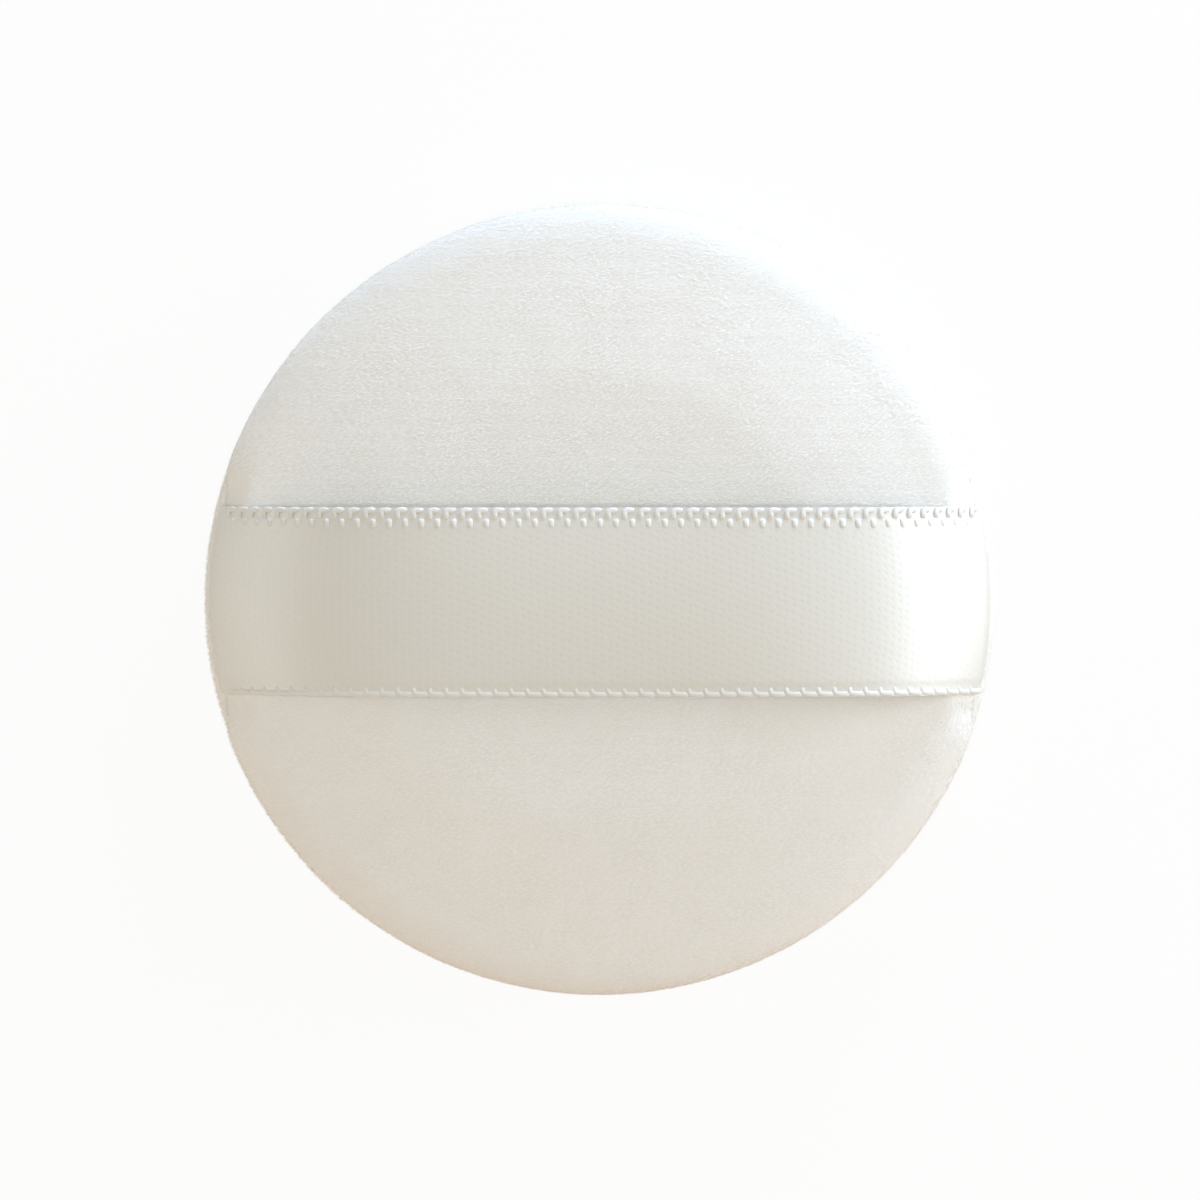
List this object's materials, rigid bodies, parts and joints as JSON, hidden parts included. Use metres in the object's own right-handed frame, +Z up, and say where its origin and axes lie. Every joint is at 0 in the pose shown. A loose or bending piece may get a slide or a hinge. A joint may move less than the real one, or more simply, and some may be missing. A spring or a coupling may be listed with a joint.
{
  "type": "powder puff",
  "caption": "Round velour powder puff: a soft foam-filled pad with a rolled seam round its rim and a satin ribbon arched over the top for the fingers, which lifts as they slide under it.",
  "frame": {"origin": "middle of the face that the pad rests on", "axes": "+X along the ribbon, +Y across it, +Z up out of the pad's top"},
  "size_m": [0.0636, 0.0636, 0.0139],
  "materials": {
    "velour": "short dense cotton pile, matt with a soft sheen at grazing angles",
    "foam": "open-cell polyurethane foam, matt",
    "satin": "woven satin, low silky gloss, with looped woven edges",
    "thread": "spun sewing thread, matt"
  },
  "bodies": {
    "pad": {"upper_cover": "velour", "lower_cover": "velour", "foam_core": "foam", "ribbon_left_tail": "satin", "ribbon_right_tail": "satin", "seam_needle_thread": "thread", "seam_bobbin_thread": "thread", "closing_thread": "thread", "left_tack_thread": "thread", "right_tack_thread": "thread"},
    "bridge": {"ribbon_bridge": "satin"},
    "left_leg": {"ribbon_left_leg": "satin"},
    "right_leg": {"ribbon_right_leg": "satin"}
  },
  "joints": [
    {"name": "ribbon_lift", "type": "slide", "parent": "pad", "child": "bridge", "axis": [0, 0, 1], "range_m": [0, 0.0025]},
    {"name": "left_leg_tilt", "type": "hinge", "parent": "pad", "child": "left_leg", "pos_m": [-0.03074, 0, 0.00597], "axis": [0, 1, 0], "range_deg": [-6.1, 0]},
    {"name": "right_leg_tilt", "type": "hinge", "parent": "pad", "child": "right_leg", "pos_m": [0.03074, 0, 0.00597], "axis": [0, 1, 0], "range_deg": [0, 6.1]}
  ],
  "couplings": [
    {"joint": "left_leg_tilt", "follows": "ribbon_lift", "rad_per_m": -42.117},
    {"joint": "right_leg_tilt", "follows": "ribbon_lift", "rad_per_m": 42.117}
  ]
}
